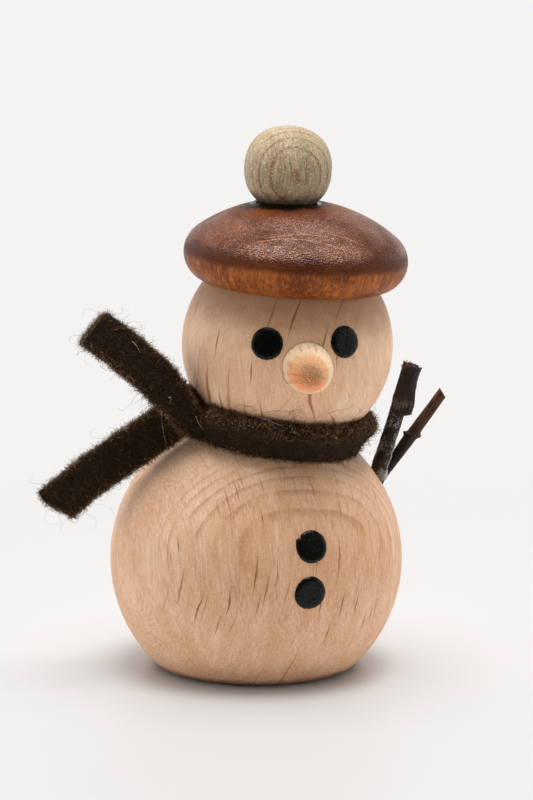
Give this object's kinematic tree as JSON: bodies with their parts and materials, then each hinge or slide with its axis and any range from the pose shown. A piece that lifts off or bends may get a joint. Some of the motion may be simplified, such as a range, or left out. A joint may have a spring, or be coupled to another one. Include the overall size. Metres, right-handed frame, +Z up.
{
  "type": "wooden snowman figure",
  "caption": "Free-standing wooden snowman figure of stacked turned balls, with a beret and bobble, painted eyes and buttons, a peg nose, a felt scarf with loose tails, and twigs at one side.",
  "frame": {"origin": "centre of the flat foot that the figure stands on", "axes": "+Z up, -Y is the way the buttons face, +X is the figure's left, where the twigs are"},
  "size_m": [0.048, 0.0359, 0.065],
  "materials": {
    "beech": "fine sanded beech, oiled matt, with short dark rays",
    "stained_wood": "mahogany stain under gloss varnish",
    "grey_wood": "weathered pale wood, matt",
    "nose_wood": "pale end grain with a thin orange tint",
    "dowel_wood": "plain cut dowel",
    "black_paint": "thick gloss black paint",
    "felt": "dark olive-brown wool felt, fuzzy",
    "bark_dark": "dark bark with grey lichen",
    "bark_brown": "smooth red-brown bark"
  },
  "bodies": {
    "root": {"body": "beech", "head": "beech", "hat": "stained_wood", "bobble": "grey_wood", "nose": "nose_wood", "neck_dowel": "dowel_wood", "hat_dowel": "dowel_wood", "bobble_pin": "dowel_wood", "eye_right": "black_paint", "eye_left": "black_paint", "button_upper": "black_paint", "button_lower": "black_paint", "scarf": "felt", "twig_thick": "bark_dark", "twig_thin": "bark_brown"}
  },
  "joints": []
}
